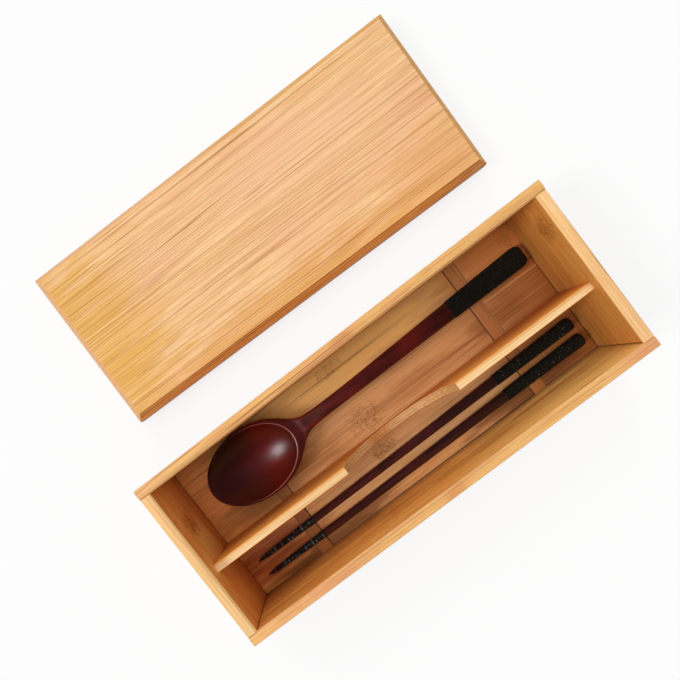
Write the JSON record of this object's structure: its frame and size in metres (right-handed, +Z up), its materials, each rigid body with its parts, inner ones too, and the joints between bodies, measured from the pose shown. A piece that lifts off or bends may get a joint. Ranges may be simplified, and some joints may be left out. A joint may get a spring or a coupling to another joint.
{
  "type": "chopstick box",
  "caption": "Long low bamboo box with a dipped lengthwise divider, holding a lacquered spoon and a pair of chopsticks, its flat bevelled lid lying beside it.",
  "frame": {"origin": "centre of the underside of the box itself, without the lid that lies beside it", "axes": "+X runs along the box towards the utensils' handle ends, +Y across it towards the lid, +Z up"},
  "size_m": [0.255, 0.2297, 0.05],
  "materials": {
    "wall_bamboo": "satin oiled bamboo, fine lengthwise strip grain",
    "end_bamboo": "satin oiled bamboo, fine lengthwise strip grain, paler top edge",
    "pin_bamboo": "bare bamboo",
    "floor_bamboo": "satin brown bamboo, fine grain and small dark flecks",
    "divider_bamboo": "satin pale bamboo with a very pale top edge",
    "lid_bamboo": "satin oiled bamboo, fine lengthwise strip grain, dark fine lines",
    "red_lacquer": "dark red-brown gloss lacquer, black speckled handle end and black ringed stick tips"
  },
  "bodies": {
    "box": {"back_wall": "wall_bamboo", "front_wall": "wall_bamboo", "left_end_wall": "end_bamboo", "right_end_wall": "end_bamboo", "corner_pins": "pin_bamboo", "floor_panel": "floor_bamboo", "left_floor_key": "floor_bamboo", "right_floor_key": "floor_bamboo", "divider": "divider_bamboo"},
    "lid": {"lid_panel": "lid_bamboo", "left_lid_batten": "lid_bamboo", "right_lid_batten": "lid_bamboo"},
    "spoon": {"spoon": "red_lacquer"},
    "back_chopstick": {"back_chopstick": "red_lacquer"},
    "front_chopstick": {"front_chopstick": "red_lacquer"}
  },
  "joints": [
    {"name": "lid_lift", "type": "slide", "parent": "box", "child": "lid", "axis": [0, 0, 1], "range_m": [0, 0.08]},
    {"name": "spoon_lift", "type": "slide", "parent": "box", "child": "spoon", "axis": [0, 0, 1], "range_m": [0, 0.06]},
    {"name": "back_chopstick_lift", "type": "slide", "parent": "box", "child": "back_chopstick", "axis": [0, 0, 1], "range_m": [0, 0.06]},
    {"name": "front_chopstick_lift", "type": "slide", "parent": "box", "child": "front_chopstick", "axis": [0, 0, 1], "range_m": [0, 0.06]}
  ]
}
